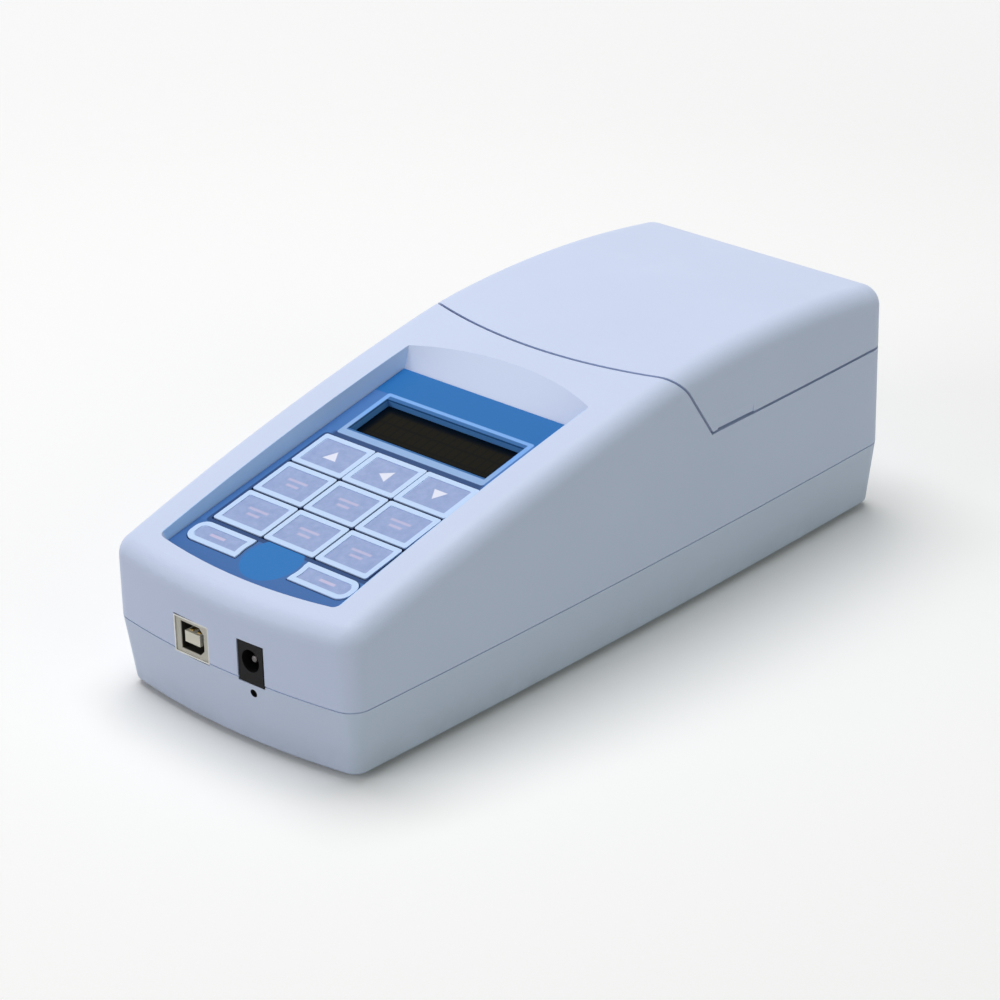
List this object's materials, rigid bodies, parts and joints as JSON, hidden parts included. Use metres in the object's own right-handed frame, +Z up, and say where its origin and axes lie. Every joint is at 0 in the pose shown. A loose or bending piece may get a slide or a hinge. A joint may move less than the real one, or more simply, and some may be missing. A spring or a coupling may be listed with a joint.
{
  "type": "portable turbidity meter",
  "caption": "Sloped bench-top and hand-held instrument case with keypad and display on the ramp, sockets in front, and a hinged lid over a round sample well.",
  "frame": {"origin": "on the table, under the middle of the overall box", "axes": "+Y from the socket end towards the lid's hinge, +Z up, +X to the right of a user at the keypad"},
  "size_m": [0.0922, 0.2242, 0.0735],
  "materials": {
    "case_plastic": "satin moulded plastic",
    "overlay_print": "printed sheet",
    "key_plastic": "printed key pad",
    "dome_sheet": "dark sheet",
    "display_glass": "tinted window",
    "display_frame": "black frame",
    "circuit_board": "solder mask",
    "chip_black": "moulded",
    "flat_cable": "flat cable",
    "screw_steel": "plain",
    "brass": "plain",
    "socket_metal": "plated",
    "socket_ivory": "moulded",
    "socket_black": "moulded",
    "light_guide": "clear",
    "charge_light": "moulded",
    "rubber": "moulded",
    "deck_plastic": "textured",
    "optics_black": "light-absorbing",
    "lamp_plastic": "moulded",
    "lens_glass": "polished",
    "detector_metal": "can",
    "battery_wrap": "plain sleeve"
  },
  "bodies": {
    "case": {"upper_case": "case_plastic", "lower_case": "case_plastic", "battery_cover": "case_plastic", "keypad_overlay": "overlay_print", "dome_sheet": "dome_sheet", "display_window": "display_glass", "display_module": "display_frame", "main_board": "circuit_board", "key_board": "circuit_board", "detector_boards": "circuit_board", "board_chips": "chip_black", "key_cable": "flat_cable", "display_cable": "flat_cable", "hinge_pin": "screw_steel", "case_screws": "screw_steel", "board_screws": "screw_steel", "deck_screws": "screw_steel", "battery_cover_screw": "screw_steel", "threaded_inserts": "brass", "battery_contacts": "brass", "usb_contacts": "brass", "usb_shell": "socket_metal", "jack_pin": "socket_metal", "usb_insert": "socket_ivory", "power_jack": "socket_black", "light_guide": "light_guide", "charge_light": "charge_light", "rubber_feet": "rubber", "light_seal": "rubber", "sample_deck": "deck_plastic", "cell_holder": "optics_black", "lamp": "lamp_plastic", "beam_lens": "lens_glass", "transmitted_light_detector": "detector_metal", "scattered_light_detector": "detector_metal", "batteries": "battery_wrap"},
    "lid": {"lid": "case_plastic"},
    "arrow_key_left": {"arrow_key_left": "key_plastic"},
    "arrow_key_centre": {"arrow_key_centre": "key_plastic"},
    "arrow_key_right": {"arrow_key_right": "key_plastic"},
    "middle_key_left": {"middle_key_left": "key_plastic"},
    "middle_key_centre": {"middle_key_centre": "key_plastic"},
    "middle_key_right": {"middle_key_right": "key_plastic"},
    "lower_key_left": {"lower_key_left": "key_plastic"},
    "lower_key_centre": {"lower_key_centre": "key_plastic"},
    "lower_key_right": {"lower_key_right": "key_plastic"},
    "end_key_left": {"end_key_left": "key_plastic"},
    "end_key_right": {"end_key_right": "key_plastic"}
  },
  "joints": [
    {"name": "lid_hinge", "type": "hinge", "parent": "case", "child": "lid", "pos_m": [0, 0.10867, 0.0547], "axis": [-1, 0, 0], "range_deg": [0, 95]},
    {"name": "arrow_key_left_press", "type": "slide", "parent": "case", "child": "arrow_key_left", "axis": [0, 0.2079, -0.9781], "range_m": [0, 0.00035], "stiffness_N_per_m": 1500},
    {"name": "arrow_key_centre_press", "type": "slide", "parent": "case", "child": "arrow_key_centre", "axis": [0, 0.2079, -0.9781], "range_m": [0, 0.00035], "stiffness_N_per_m": 1500},
    {"name": "arrow_key_right_press", "type": "slide", "parent": "case", "child": "arrow_key_right", "axis": [0, 0.2079, -0.9781], "range_m": [0, 0.00035], "stiffness_N_per_m": 1500},
    {"name": "middle_key_left_press", "type": "slide", "parent": "case", "child": "middle_key_left", "axis": [0, 0.2079, -0.9781], "range_m": [0, 0.00035], "stiffness_N_per_m": 1500},
    {"name": "middle_key_centre_press", "type": "slide", "parent": "case", "child": "middle_key_centre", "axis": [0, 0.2079, -0.9781], "range_m": [0, 0.00035], "stiffness_N_per_m": 1500},
    {"name": "middle_key_right_press", "type": "slide", "parent": "case", "child": "middle_key_right", "axis": [0, 0.2079, -0.9781], "range_m": [0, 0.00035], "stiffness_N_per_m": 1500},
    {"name": "lower_key_left_press", "type": "slide", "parent": "case", "child": "lower_key_left", "axis": [0, 0.2079, -0.9781], "range_m": [0, 0.00035], "stiffness_N_per_m": 1500},
    {"name": "lower_key_centre_press", "type": "slide", "parent": "case", "child": "lower_key_centre", "axis": [0, 0.2079, -0.9781], "range_m": [0, 0.00035], "stiffness_N_per_m": 1500},
    {"name": "lower_key_right_press", "type": "slide", "parent": "case", "child": "lower_key_right", "axis": [0, 0.2079, -0.9781], "range_m": [0, 0.00035], "stiffness_N_per_m": 1500},
    {"name": "end_key_left_press", "type": "slide", "parent": "case", "child": "end_key_left", "axis": [0, 0.2079, -0.9781], "range_m": [0, 0.00035], "stiffness_N_per_m": 1500},
    {"name": "end_key_right_press", "type": "slide", "parent": "case", "child": "end_key_right", "axis": [0, 0.2079, -0.9781], "range_m": [0, 0.00035], "stiffness_N_per_m": 1500}
  ]
}
